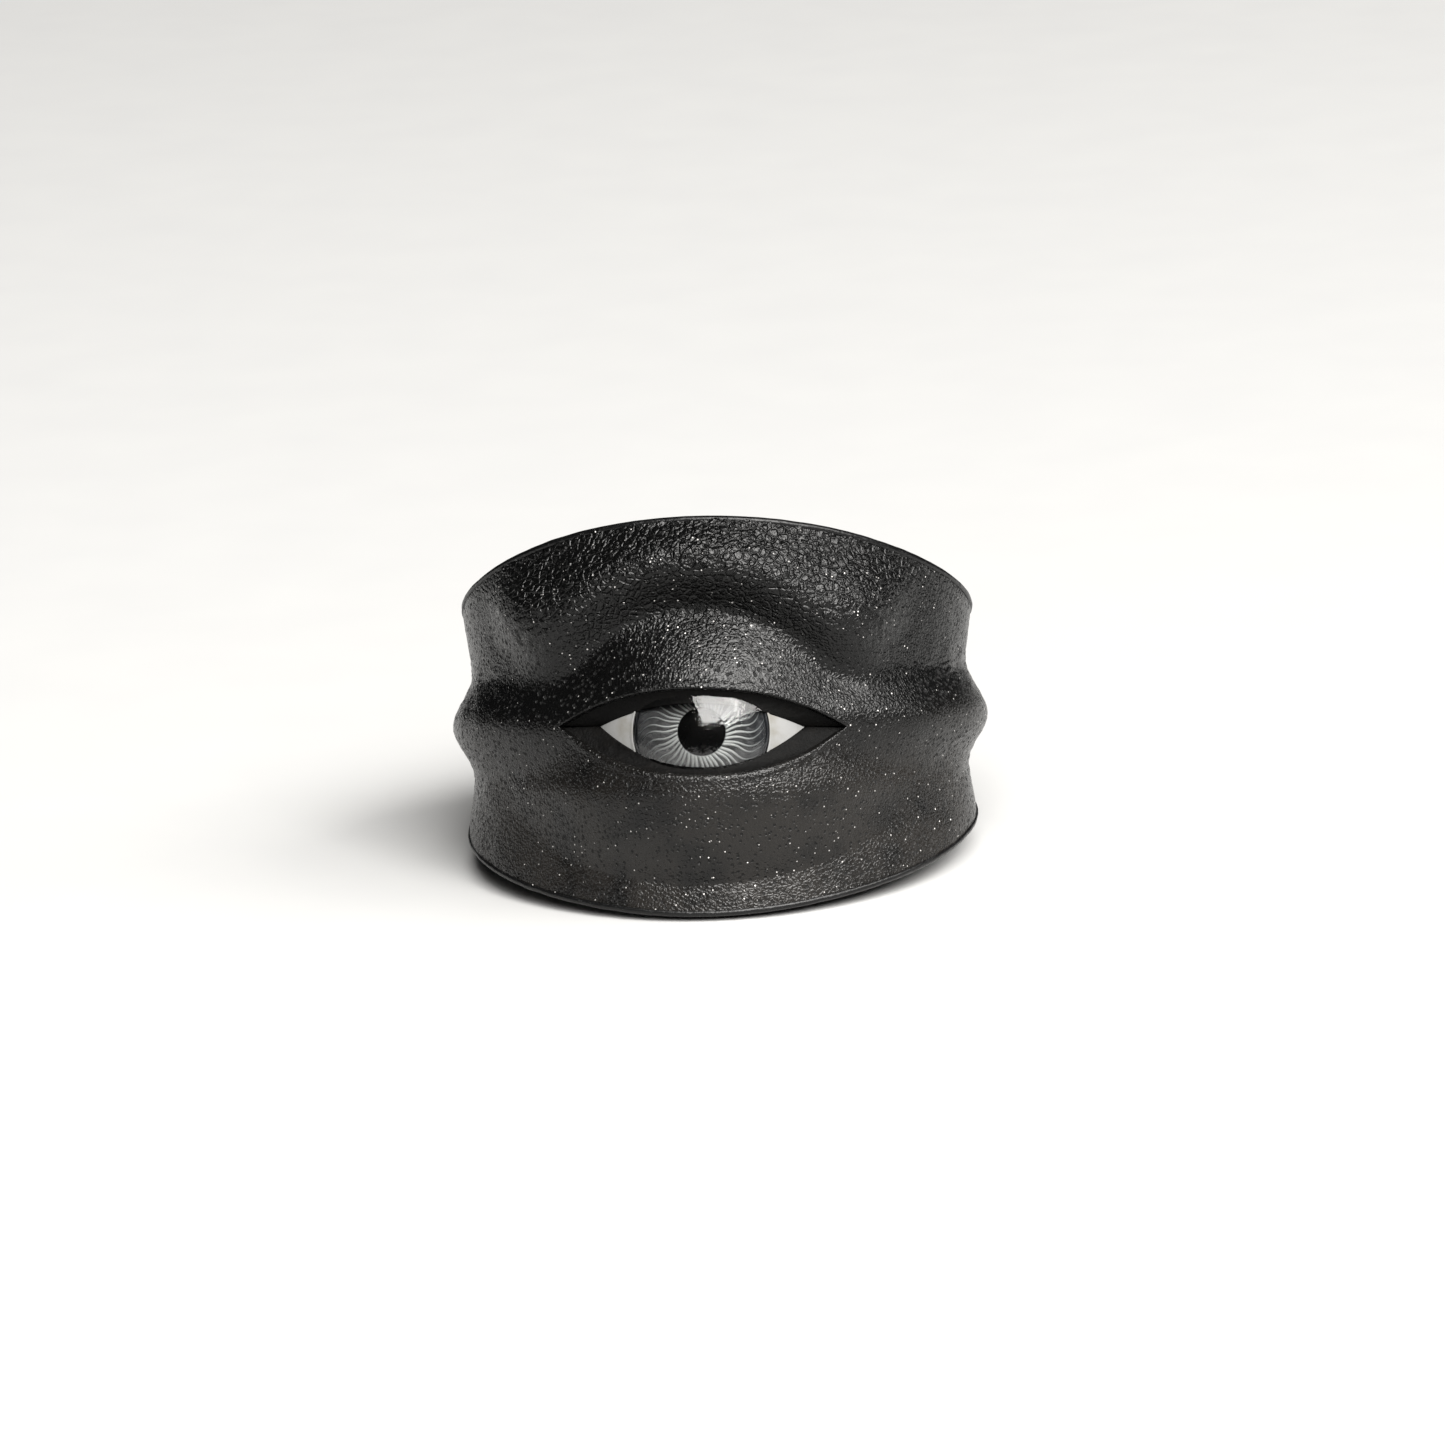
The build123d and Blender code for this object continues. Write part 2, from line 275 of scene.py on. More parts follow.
white_profile = [(IRIS_RADIUS, ball_depth(IRIS_RADIUS) - SHELL)]
back_radius = math.sqrt(EYE_RADIUS**2 - (EYE_BACK - EYE_DEPTH) ** 2)
for k in range(WHITE_RINGS + 1):
    share = (k / WHITE_RINGS) ** WHITE_CROWDING
    radius = IRIS_RADIUS + (back_radius - IRIS_RADIUS) * share
    edge = SEAT_EDGE * bump_at(radius, IRIS_RADIUS + 0.4 * SEAT_WIDTH, SEAT_WIDTH)
    drop = SEAT_DROP if k == 0 else 0.0
    white_profile.append((radius, ball_depth(radius) + edge - drop))
white_profile.append((back_radius - SHELL, EYE_BACK))
eye_white = skin("opal_cap", rings(white_profile), closed_along=True, closed_across=True)


def opal_glass():
    material, place, shader = new_finish("opal_glass")
    stain = cloud(place, 0.9).step(0.42, 0.72)
    flecks = cloud(place, 0.07, 2.0).step(0.62, 0.75)
    # The white is a dim grey, far darker than opal glass: painted shade, standing in for the lids' shade
    # over the deep-set white.
    clean = stain.blend(grey(0.2, (1.0, 1.0, 0.985)), grey(0.16, (1.0, 0.97, 0.88)))
    plug(shader, Base_Color=(flecks * 0.45).blend(clean, grey(0.13, (1.0, 0.92, 0.8))))
    plug(shader, Roughness=0.4 + 0.2 * flecks)
    plug(shader, Specular_IOR_Level=0.25)
    plug(shader, Normal=bumped(cloud(place, 0.25), 0.008))
    return material


eye_white.data.materials.append(opal_glass())
stands_for(eye_white, "opal_glass", "eye_white")

# ---- The iris and the pupil ----
# A disc of grey-blue glass, dished a little, darker towards its edge, with a black glass pupil pressed into
# its middle and a thin dark ring fused round its rim.

IRIS_BACK, IRIS_FRONT = 11.05, 11.35
IRIS_DISH = 0.1
PUPIL_RADIUS = 1.04
PUPIL_DOME, PUPIL_BEVEL = 0.16, 0.03
PUPIL_RINGS, PUPIL_ROUND = 14, 96
IRIS_INNER, IRIS_OUTER = PUPIL_RADIUS - 0.02, IRIS_RADIUS - 0.06
IRIS_RINGS = 24
LIMBUS_WIDTH, LIMBUS_HIGH, LIMBUS_LIFT = 0.16, 0.06, 0.03
LIMBUS_MIDDLE = IRIS_RADIUS - 0.02 - LIMBUS_WIDTH / 2
LIMBUS_SIDES = 12


def iris_depth(radius):
    return IRIS_FRONT + IRIS_DISH * (radius / IRIS_RADIUS) ** 2


iris_profile = [(IRIS_INNER, IRIS_BACK)]
for k in range(IRIS_RINGS + 1):
    radius = IRIS_INNER + (IRIS_OUTER - IRIS_INNER) * k / IRIS_RINGS
    iris_profile.append((radius, iris_depth(radius)))
iris_profile.append((IRIS_OUTER, IRIS_BACK))
iris_disc = skin("blue_iris", rings(iris_profile), closed_along=True, closed_across=True)


def from_ball_middle(place):
    middle = stand @ Vector((0, -EYE_DEPTH, EYE_Z)) / MILLIMETRE
    return place.node("VectorMath", {"operation": "SUBTRACT"}, {0: place, 1: middle})


def ahead_of_middle(place):
    """Millimetres in front of the glass ball's middle, along the eye's axis."""
    ahead = (stand.to_3x3() @ Vector((0, -1, 0))).normalized()
    inputs = {0: from_ball_middle(place), 1: ahead}
    return place.node("VectorMath", {"operation": "DOT_PRODUCT"}, inputs, "Value")


def off_axis(place):
    """Distance from the eye's axis in millimetres."""
    whole = place.node("VectorMath", {"operation": "LENGTH"}, {0: from_ball_middle(place)}, "Value")
    along = ahead_of_middle(place)
    return (whole * whole - along * along) ** 0.5


def blue_glass():
    material, place, shader = new_finish("blue_glass")
    radius = off_axis(place)
    outer = radius.step(1.6, 2.95)
    streak = cloud(place, 0.3, 2.0).step(0.3, 0.75)
    body = outer.blend(grey(0.012, (0.95, 1.0, 1.0)), grey(0.007, (0.8, 1.0, 1.4)))
    plug(shader, Base_Color=(streak * 0.5).blend(body, grey(0.03, (0.9, 1.0, 1.1))))
    plug(shader, Roughness=0.3 + 0.15 * streak)
    plug(shader, Normal=bumped(streak, 0.01))
    return material


iris_disc.data.materials.append(blue_glass())
stands_for(iris_disc, "blue_glass", "iris_disc")

pupil_profile = [(0.0, IRIS_BACK), (PUPIL_RADIUS - PUPIL_BEVEL, IRIS_BACK)]
pupil_profile.append((PUPIL_RADIUS, IRIS_BACK + PUPIL_BEVEL))
for k in range(PUPIL_RINGS + 1):
    angle = math.pi / 2 * k / PUPIL_RINGS
    pupil_profile.append((PUPIL_RADIUS * math.cos(angle), IRIS_FRONT + PUPIL_DOME * math.sin(angle)))
pupil = skin("black_pupil", rings(pupil_profile, PUPIL_ROUND), closed_along=True)


def black_glass():
    material, place, shader = new_finish("black_glass")
    haze = cloud(place, 0.4)
    plug(shader, Base_Color=haze.blend(grey(0.0008), grey(0.002)))
    plug(shader, Roughness=0.2 + 0.06 * haze)
    plug(shader, Specular_IOR_Level=0.05)
    return material


pupil.data.materials.append(black_glass())
stands_for(pupil, "black_glass", "pupil")

limbus_profile = []
for k in range(LIMBUS_SIDES):
    angle = 2 * math.pi * k / LIMBUS_SIDES
    depth = iris_depth(LIMBUS_MIDDLE) + LIMBUS_LIFT + LIMBUS_HIGH * math.sin(angle)
    limbus_profile.append((LIMBUS_MIDDLE + LIMBUS_WIDTH / 2 * math.cos(angle), depth))
limbus_ring = skin("dark_rim_ring", rings(limbus_profile), closed_along=True, closed_across=True)


def dark_glass():
    material, place, shader = new_finish("dark_glass")
    haze = cloud(place, 0.3)
    plug(shader, Base_Color=haze.blend(grey(0.008, (0.9, 1.0, 1.2)), grey(0.03, (0.9, 1.0, 1.2))))
    plug(shader, Roughness=0.25 + 0.1 * haze)
    return material


limbus_ring.data.materials.append(dark_glass())
stands_for(limbus_ring, "dark_glass", "limbus_ring")

# ---- The iris threads ----
# Hair-fine white glass threads laid on the hot iris from the pupil outwards. They are dragged sideways as
# they sink in, so each one is a flattened S that thins towards its end.

THREAD_COUNT = 44
THREAD_WIDTH, THREAD_HEIGHT, THREAD_LIFT = 0.13, 0.035, 0.012
THREAD_START_GAP, THREAD_END_GAP, THREAD_SHORTER = 0.02, 0.2, 0.25
THREAD_STEPS, THREAD_SIDES = 28, 8
THREAD_SWEEP, THREAD_SWAY, THREAD_SCATTER = math.radians(19), math.radians(4.5), math.radians(3)


def thread_line(number):
    """A thread's middle line from the pupil outwards: (radius, angle) pairs."""
    seed = Vector((number * 1.37, 2.1, 0.4))
    start = 2 * math.pi * number / THREAD_COUNT + THREAD_SCATTER * noise.noise(seed)
    end = IRIS_RADIUS - THREAD_END_GAP - THREAD_SHORTER * abs(noise.noise(seed * 1.7))
    sway = THREAD_SWAY * (1 + 0.5 * noise.noise(seed * 2.3))
    line = []
    for k in range(THREAD_STEPS + 1):
        share = k / THREAD_STEPS
        radius = PUPIL_RADIUS + THREAD_START_GAP + (end - PUPIL_RADIUS) * share
        drift = THREAD_SWEEP * share**1.5 + sway * math.sin(2 * math.pi * share) * (1 - 0.3 * share)
        line.append((radius, start + drift))
    return line


thread_points, thread_faces = [], []
for number in range(THREAD_COUNT):
    first = len(thread_points)
    line = thread_line(number)
    heavy = 1 + 0.35 * noise.noise(Vector((number * 0.9, 7.7, 3.3))) - 0.25 * math.sin(line[0][1])
    for k, (radius, angle) in enumerate(line):
        share = k / THREAD_STEPS
        taper = (1 - 0.55 * share) * min(1.0, 0.35 + 6 * (1 - share))
        width = THREAD_WIDTH * heavy * taper / 2
        for side in range(THREAD_SIDES):
            turn = 2 * math.pi * side / THREAD_SIDES
            sideways = width * math.cos(turn) / radius
            rise = THREAD_HEIGHT * (1 - 0.4 * share) * math.sin(turn)
            thread_points.append(on_eye(radius, angle + sideways, iris_depth(radius) + THREAD_LIFT + rise))
    for k in range(THREAD_STEPS):
        for side in range(THREAD_SIDES):
            a = first + k * THREAD_SIDES + side
            b = first + k * THREAD_SIDES + (side + 1) % THREAD_SIDES
            thread_faces.append((a, b, b + THREAD_SIDES, a + THREAD_SIDES))
    last = first + THREAD_STEPS * THREAD_SIDES
    thread_faces.append(tuple(range(first, first + THREAD_SIDES)))
    thread_faces.append(tuple(range(last, last + THREAD_SIDES)))
iris_threads = solid("glass_threads", thread_points, thread_faces)


def white_threads():
    material, place, shader = new_finish("white_threads")
    fade = off_axis(place).step(1.3, 2.9)
    body = fade.blend(grey(0.34, (0.96, 1.0, 0.97)), grey(0.13, (0.92, 1.0, 1.02)))
    plug(shader, Base_Color=(cloud(place, 0.15) * 0.5).blend(body, grey(0.1, (0.9, 1.0, 1.02))))
    plug(shader, Roughness=0.3 + 0.2 * cloud(place, 0.2))
    return material


iris_threads.data.materials.append(white_threads())
stands_for(iris_threads, "white_glass", "iris_threads")

# ---- The cornea ----
# A clear glass dome fused over the iris and polished. It is nearly invisible but for what it mirrors: the
# lamp above and the table below.

CORNEA_CURVE = 5.2
CORNEA_BACK = 11.55
CORNEA_RINGS = 36
POLISH_FROM, POLISH_FULL = CORNEA_BACK - EYE_DEPTH + 0.02, CORNEA_BACK - EYE_DEPTH + 0.07
cornea_rim = IRIS_RADIUS - 0.02
cornea_centre = ball_depth(IRIS_RADIUS) - math.sqrt(CORNEA_CURVE**2 - IRIS_RADIUS**2)
cornea_profile = [(0.0, CORNEA_BACK), (cornea_rim, CORNEA_BACK)]
for k in range(CORNEA_RINGS + 1):
    radius = cornea_rim * (1 - k / CORNEA_RINGS)
    cornea_profile.append((radius, cornea_centre + math.sqrt(CORNEA_CURVE**2 - radius**2)))
cornea = skin("clear_dome", rings(cornea_profile), closed_along=True)


def clear_glass():
    """Clear glass whose front alone mirrors, so that its flat back shows no second lamp."""
    material, place, shader = new_finish("clear_glass")
    smears = bumped(cloud(place, 0.5, 2.0) + 0.3 * cloud(place, 0.12, 2.0), 0.02)
    mirror = place.node("BsdfGlossy", {}, {"Color": grey(1.0), "Roughness": 0.05, "Normal": smears})
    through = place.node("BsdfTransparent", {}, {"Color": grey(0.97)})
    polished = ahead_of_middle(place).step(POLISH_FROM, POLISH_FULL)
    facing = polished * place.node("Fresnel", {}, {"IOR": 1.5})
    both = place.node("MixShader", {}, {0: facing, 1: through, 2: mirror})
    place.tree.links.new(both.socket, place.tree.nodes["Material Output"].inputs["Surface"])
    return material


cornea.data.materials.append(clear_glass())
stands_for(cornea, "clear_glass", "cornea")

# ---- The moulded cover ----
# One strip of black goatskin, wetted and moulded over the formers and the glass, then slit over the eye. It
# carries the brow, the hollow under it, both lids, the ridge round the band and the turned-out edges.

# The plain band: its layers out from the hole, its turned-out edges, and half its height all round.
HOLE_RADIUS = hole["dims"]["r_mm"]
LINING, COVER = 0.88, 1.2
BAND_RADIUS = HOLE_RADIUS + LINING + COVER
FLARE = 0.35
FLARE_FADE = (math.radians(120), math.radians(160))
CHIN_FADE, CHIN_KEPT = (math.radians(20), math.radians(70)), 0.1
RIM_RADIUS = BAND_RADIUS + FLARE
FRONT_HALF, SIDE_HALF, BACK_HALF = 8.96, 5.1, 3.3
BEAD = 0.14

# The ridge level with the eye, the brow's arch, its two shoulders, and the hollow under it.
RIDGE_RISE, RIDGE_HALF, RIDGE_Z = 0.95, 2.45, -0.2
RIDGE_FADE = (math.radians(115), math.radians(150))
BROW_RISE, BROW_Z, BROW_DROP, BROW_SHIFT = 1.4, 7.0, 0.088, -0.35
BROW_BELOW, BROW_TOP_SHARE, BROW_FADE = 2.7, 0.82, (4.6, 9.6)
BROW_FOOT_Z, BROW_FOOT_BLEND = 3.1, 1.5
SHOULDER_RISE, SHOULDER_X, SHOULDER_Z, SHOULDER_REACH = 0.8, 7.2, 5.0, 2.6
HOLLOW_DEPTH, HOLLOW_Z, HOLLOW_WIDE, HOLLOW_HIGH = 0.3, 4.7, 5.2, 1.9

# The lids, as balls about the glass, how softly they run into the band, and the lap at the back.
LID_INNER, LID_OUTER = 6.2, 6.66
LID_BLEND, LOWER_LID_BLEND, CHEEK_REACH = 1.1, 3.6, 3.0
LAP_STEP = 0.45
LAP_START, LAP_FULL, LAP_END = math.radians(150), math.radians(170), math.radians(192)


def round_the_hole(turn, radius, z):
    """A point at an angle from the eye, a distance from the hole's axis, and a height."""
    return (radius * math.sin(turn), -radius * math.cos(turn), z)


def band_half(turn, radius=RIM_RADIUS):
    """Half the strip's height without its edge bead. Seen from the side the cut edges are gentle curves."""
    y = -radius * math.cos(turn)
    slope = (BACK_HALF - FRONT_HALF) / (2 * RIM_RADIUS)
    bow = ((BACK_HALF + FRONT_HALF) / 2 - SIDE_HALF) / RIM_RADIUS**2
    return SIDE_HALF + slope * y + bow * y * y - BEAD


def fall(value, start, end):
    """1 before start, 0 after end, and smooth between."""
    return bump_at(max(0.0, (value - start) / (end - start)), 0.0, 1.0)


def soft_max(a, b, width):
    near = max(width - abs(a - b), 0.0) / width
    return max(a, b) + near * near * width / 4


def ball_reach(turn, z, radius):
    """How far from the hole's axis a ball about the eye's centre reaches."""
    along = EYE_DEPTH * math.cos(turn)
    inside = along**2 - EYE_DEPTH**2 - (z - EYE_Z) ** 2 + radius**2
    return along + math.sqrt(inside) if inside > 0 and along > 0 else 0.0


def from_eye(turn):
    """The turn from the eye, whichever way round is shorter."""
    return abs((turn + math.pi) % (2 * math.pi) - math.pi)


def brow_arch(x):
    """The height of the brow's crest, an arch whose ends level off above the ridge."""
    return soft_max(BROW_Z - BROW_DROP * (x - BROW_SHIFT) ** 2, BROW_FOOT_Z, BROW_FOOT_BLEND)


def moulding(turn, z):
    """What the ridge, the brow, its two shoulders and the hollow under it add to the band."""
    away = from_eye(turn)
    ridge = RIDGE_RISE * bump_at(z, RIDGE_Z, RIDGE_HALF) * fall(away, *RIDGE_FADE)
    if away > math.pi / 2:
        return ridge
    x = BAND_RADIUS * math.sin(turn)
    above = z - brow_arch(x)
    if above > 0:
        slope = bump_at(BROW_TOP_SHARE * above / (band_half(turn) - brow_arch(x)), 0.0, 1.0)
    else:
        slope = bump_at(above, 0.0, BROW_BELOW)
    brow = BROW_RISE * slope * fall(abs(x), *BROW_FADE)
    off_shoulder = math.hypot(abs(x - BROW_SHIFT) - SHOULDER_X, z - SHOULDER_Z)
    shoulder = SHOULDER_RISE * bump_at(off_shoulder, 0.0, SHOULDER_REACH)
    off_hollow = math.hypot((x - BROW_SHIFT) / HOLLOW_WIDE, (z - HOLLOW_Z) / HOLLOW_HIGH)
    return ridge + brow + shoulder - HOLLOW_DEPTH * bump_at(off_hollow, 0.0, 1.0)


def lap(turn):
    """How far the pared end of the strip lies proud of its other end at the back."""
    around = turn % (2 * math.pi)
    if around > LAP_END:
        return 0.0
    return LAP_STEP * (1 - fall(around, LAP_START, LAP_FULL))


def cover_radius(turn, z):
    """How far the cover's plain face stands from the hole's axis. Its edges turn out less at the back, and
    hardly at all under the eye, and the cheek below the eye is filled softly."""
    share = min(abs(z) / band_half(turn), 1.0)
    back = 0.5 + 0.5 * fall(from_eye(turn), *FLARE_FADE)
    chin = 1 - (1 - CHIN_KEPT) * fall(from_eye(turn), *CHIN_FADE) * (1 - fall(-z, 0.0, CHEEK_REACH))
    turned_out = FLARE * bump_at(share**2, 1.0, 1.0) * back * chin
    plain = BAND_RADIUS + turned_out + moulding(turn, z) + lap(turn)
    blend = LID_BLEND + LOWER_LID_BLEND * (1 - fall(EYE_Z - z, 0.0, CHEEK_REACH))
    return soft_max(plain, ball_reach(turn, z, LID_OUTER), blend)


def cover_inside(turn, z):
    """How far the cover's flesh side stands from the hole's axis, over the formers and the glass."""
    inside = HOLE_RADIUS + LINING + max(moulding(turn, z), 0.0)
    return soft_max(inside, ball_reach(turn, z, LID_INNER), LID_BLEND)


# The slit is an almond, wider than it is high, tilted down towards +X.
SLIT_MIDDLE, SLIT_HALF = -0.05, 6.36
SLIT_CORNER_Z, SLIT_TILT = -0.37, -0.03
SLIT_TOP, SLIT_BOTTOM = 1.74, -2.14
ALMOND_POWER = 2.15
FIRST_GUESS, TURN_STEPS = 0.5, 20


def almond(share, middle, half, corner_z, tilt, reach):
    """(x, z) on one edge of an almond: share runs from -1 to 1 between its corners, reach is its height."""
    x = middle + half * share
    curve = 1 - abs(share) ** ALMOND_POWER
    return x, corner_z + tilt * (x - middle) + reach * curve


def corner_turn(side):
    """The turn at which the slit's corner lies on the cover's curved face, found by closing in on it."""
    x, z = almond(side, SLIT_MIDDLE, SLIT_HALF, SLIT_CORNER_Z, SLIT_TILT, 0.0)
    turn = side * FIRST_GUESS
    for _ in range(TURN_STEPS):
        turn = math.asin(x / cover_radius(turn, z))
    return turn


# How high each kind of wrinkle stands, and the size of the skin's pebbles.
CRACKLE_RISE, FINE_RISE, PLAIN_RISE, FOLD_DEPTH, UNEVEN_RISE = 0.085, 0.035, 0.012, 0.09, 0.045
CRACKLE_SIZE, FINE_SIZE, PEBBLE_LEVEL, PEBBLE_STEEP = 0.42, 0.25, 0.6, 1.9
# Where the crackle fades, round the band and to either side, and where the folds lie beside the ridge.
CRACKLE_TURNS, CRACKLE_FADE = (math.radians(50), math.radians(95)), (6.5, 10.0)
GROOVE_Z, GROOVE_FADE, GROOVE_TURNS = 1.9, (0.5, 1.6), (math.radians(100), math.radians(150))


def pebbles(place, size):
    """Pebbled skin: 0 in the creases and 1 on the tops."""
    near = noise.voronoi(place / size)[0]
    return min((near[1] - near[0]) * PEBBLE_STEEP, 1.0)


def wrinkle(turn, z):
    """The hand-worked surface: crackle over the brow, folds along the grooves, and soft unevenness."""
    flat = Vector((turn % (2 * math.pi) * BAND_RADIUS, z, 0.0))
    x = BAND_RADIUS * math.sin(turn)
    front = fall(from_eye(turn), *CRACKLE_TURNS)
    above = z - brow_arch(x)
    brow = (fall(-above, 0.0, 1.0) if above < 0 else 1.0) * front * fall(abs(x), *CRACKLE_FADE)
    warp = Vector((noise.noise(flat * 0.8), noise.noise(flat * 0.8 + Vector((5, 3, 1))), 0)) * 0.5
    crackle = pebbles(flat + warp * 0.6, CRACKLE_SIZE) - PEBBLE_LEVEL
    fine = pebbles(flat + warp * 0.6, FINE_SIZE) - PEBBLE_LEVEL
    stretched = Vector((flat.x * 0.55, flat.y * 2.2, 1.7)) + warp * 1.5
    folds = abs(noise.noise(stretched)) + 0.5 * abs(noise.noise(stretched * 2.1))
    sides = fall(math.pi - from_eye(turn), *GROOVE_TURNS)
    groove = fall(abs(abs(z - RIDGE_Z) - GROOVE_Z), *GROOVE_FADE) * sides
    uneven = noise.noise(flat * 0.35) + 0.5 * noise.noise(flat * 0.9)
    return (
        CRACKLE_RISE * brow * crackle
        + FINE_RISE * brow * fine
        + PLAIN_RISE * (1 - brow) * fine
        - FOLD_DEPTH * groove * folds
        + UNEVEN_RISE * uneven
    )


FRONT_COLUMNS, SLIT_COLUMNS, BACK_COLUMNS = 320, 150, 96
FINE_TO = math.radians(72)
UPPER_ROWS, LOWER_ROWS, INNER_ROWS, EDGE_ROWS = 112, 88, 5, 5
RIM_ROUND = 0.14
LIP_RISE, LIP_WIDTH, LIP_CREST = 0.05, 0.3, 0.12
EDGE_TUCK = 0.1
LAP_CLEAR, LAP_HALF_STEP = 0.02, 0.004

# The turns of the columns: close together along the slit and the front, wide apart round the back, with two
# side by side at the lap's step.
left_corner, right_corner = corner_turn(-1), corner_turn(1)
turns = [left_corner + (right_corner - left_corner) * k / SLIT_COLUMNS for k in range(SLIT_COLUMNS + 1)]
side_columns = (FRONT_COLUMNS - SLIT_COLUMNS) // 2
turns += [right_corner + (FINE_TO - right_corner) * (k / side_columns) for k in range(1, side_columns + 1)]
back = [FINE_TO + (2 * math.pi - 2 * FINE_TO) * k / BACK_COLUMNS for k in range(1, BACK_COLUMNS)]
back = [turn for turn in back if abs(turn - LAP_END) > LAP_CLEAR]
turns += sorted(back + [LAP_END - LAP_HALF_STEP, LAP_END + LAP_HALF_STEP])
turns += [2 * math.pi - FINE_TO + (FINE_TO + left_corner) * (k / side_columns) for k in range(side_columns)]


def slit_share(turn):
    """Where a column meets the slit, from -1 to 1, or None beside it."""
    if turn > right_corner + 1e-9:
        return None
    return max(-1.0, min(1.0, 2 * (turn - left_corner) / (right_corner - left_corner) - 1))


def middle_height(turn):
    """The height of the corners' line, carried on round the band beside the slit."""
    x = BAND_RADIUS * math.sin(turn)
    tilt = SLIT_TILT * fall(from_eye(turn), math.radians(30), math.radians(90))
    return SLIT_CORNER_Z + tilt * (x - SLIT_MIDDLE)


def lid_height(turn, reach):
    """The height of a lid's edge, where reach is how far it stands from the corners' line at the middle."""
    share = slit_share(turn)
    if share is None:
        return middle_height(turn)
    return middle_height(turn) + reach * (1 - abs(share) ** ALMOND_POWER)


def lid_lip(turn, distance):
    """The lid's edge stands a little proud where the knife and the bone folder have turned it."""
    share = slit_share(turn)
    if share is None:
        return 0.0
    return LIP_RISE * bump_at(distance, LIP_CREST, LIP_WIDTH) * (1 - abs(share) ** 6)


def cover_column(turn, side):
    """Points of one column of one lid's half of the cover: from the rim over the face to the lid's edge, in
    over the edge, and back along the inside to the rim. side is 1 above the eye and -1 below it."""
    rim = side * band_half(turn, cover_radius(turn, side * band_half(turn)))
    inner_rim = side * band_half(turn, HOLE_RADIUS + LINING)
    lid = lid_height(turn, SLIT_TOP if side > 0 else SLIT_BOTTOM)
    rows = UPPER_ROWS if side > 0 else LOWER_ROWS
    points = []
    for k in range(rows + 1):
        z = rim + (lid - rim) * k / rows
        radius = cover_radius(turn, z) + wrinkle(turn, z) + lid_lip(turn, abs(z - lid))
        near_rim = max(0.0, 1 - abs(z - rim) / RIM_ROUND)
        radius -= RIM_ROUND * (1 - math.sqrt(1 - near_rim**2))
        points.append(round_the_hole(turn, radius, z))
    gap = abs(lid - middle_height(turn))
    face = cover_radius(turn, lid) + wrinkle(turn, lid) + lid_lip(turn, 0.0)
    inside = cover_inside(turn, lid)
    for k in range(1, EDGE_ROWS + 1):
        share = k / EDGE_ROWS
        tuck = min(EDGE_TUCK, gap * 0.3) * math.sin(share * math.pi / 2)
        depth = (face - inside) * (1 - math.cos(share * math.pi / 2))
        points.append(round_the_hole(turn, face - depth, lid - side * tuck))
    for k in range(1, INNER_ROWS + 1):
        z = lid + (inner_rim - lid) * k / INNER_ROWS
        points.append(round_the_hole(turn, cover_inside(turn, z), z))
    return points


def cover_half(side):
    columns = [cover_column(turn, side) for turn in turns]
    return [list(row) for row in zip(*columns)]


# Both halves have the same columns, so they meet beside the slit. The rows over the lids' edges would lie
# inside the leather there, and are left out.
points, faces = [], []
for side, rows in ((1, UPPER_ROWS), (-1, LOWER_ROWS)):
    half = cover_half(side)
    base, across, along = len(points), len(half), len(turns)
    points += [point for row in half for point in row]
    for r in range(across):
        for c in range(along):
            if rows <= r < rows + EDGE_ROWS and c >= SLIT_COLUMNS:
                continue
            below, right = (r + 1) % across, (c + 1) % along
            corners = (r * along + c, r * along + right, below * along + right, below * along + c)
            faces.append(tuple(base + corner for corner in corners))
outer_cover = solid("moulded_cover", points, faces)


def creases(place, size):
    """Distance from the nearest edge between scattered cells, in units of their spacing."""
    return spots(place, size, "DISTANCE_TO_EDGE")


def black_goatskin():
    """Dyed and waxed grain leather: crackled where it was stretched over the brow and pored below the eye.
    It is lighter and browner in blotches towards the bottom, which is painted light from the white table,
    and it carries small near-white specks in loose clusters."""
    material, place, shader = new_finish("black_goatskin")
    height = place.node("SeparateXYZ", {}, {0: place}, "Z")
    blotch = cloud(place, 2.2, 3.0)
    stretched = (height + 3.0 * blotch).step(12.5, 15.5)
    # Lighter and browner in blotches towards the bottom of the ring: painted light, standing in for the
    # white table's light on the lower half.
    lightened = 1 - (height + 2.5 * blotch).step(6.0, 10.0)
    crackle = creases(place, 0.34).step(0.0, 0.2)
    grain = creases(place, 0.17).step(0.0, 0.3)
    fine = cloud(place, 0.09, 3.0, 0.6)
    pore = (1 - spots(place, 0.26).step(0.18, 0.36)) * (1 - 0.7 * stretched)
    # Small near-white specks, sparse and in loose clusters, raised a little in the relief.
    fleck = 1 - spots(place, 0.3).step(0.07, 0.15)
    chance = cloud(place, 0.4, 0.0).step(0.52, 0.57)
    cluster = cloud(place, 3.4, 1.0).step(0.48, 0.66)
    white_specks = fleck * chance * (0.4 + 0.6 * cluster)
    # The black dye, with the painted table light mixed in towards the bottom.
    dye_and_table_light = (lightened * blotch.step(0.25, 0.6)).blend(grey(0.0014), grey(0.0095, (1.0, 0.89, 0.79)))
    pitted = (pore * 0.85).blend(dye_and_table_light, grey(0.0006))
    plug(shader, Base_Color=white_specks.blend(pitted, grey(0.8, (1.0, 0.97, 0.94))))
    plug(shader, Roughness=(0.2 + 0.08 * fine + 0.06 * blotch + 0.45 * pore).clamp())
    plug(shader, Specular_IOR_Level=0.3)
    relief = (0.35 + 1.6 * stretched) * crackle + 0.55 * grain + 0.4 * fine - 1.1 * pore + 0.5 * white_specks
    plug(shader, Normal=bumped(relief, 0.024))
    return material


outer_cover.data.materials.append(black_goatskin())
stands_for(outer_cover, "moulded_leather", "outer_cover")

# ---- The lid facings ----
# Two pared strips of dark brown leather, burnished and glued inside the slit. They slope in from the lids'
# edges to the glass and meet in a point at each corner of the eye.

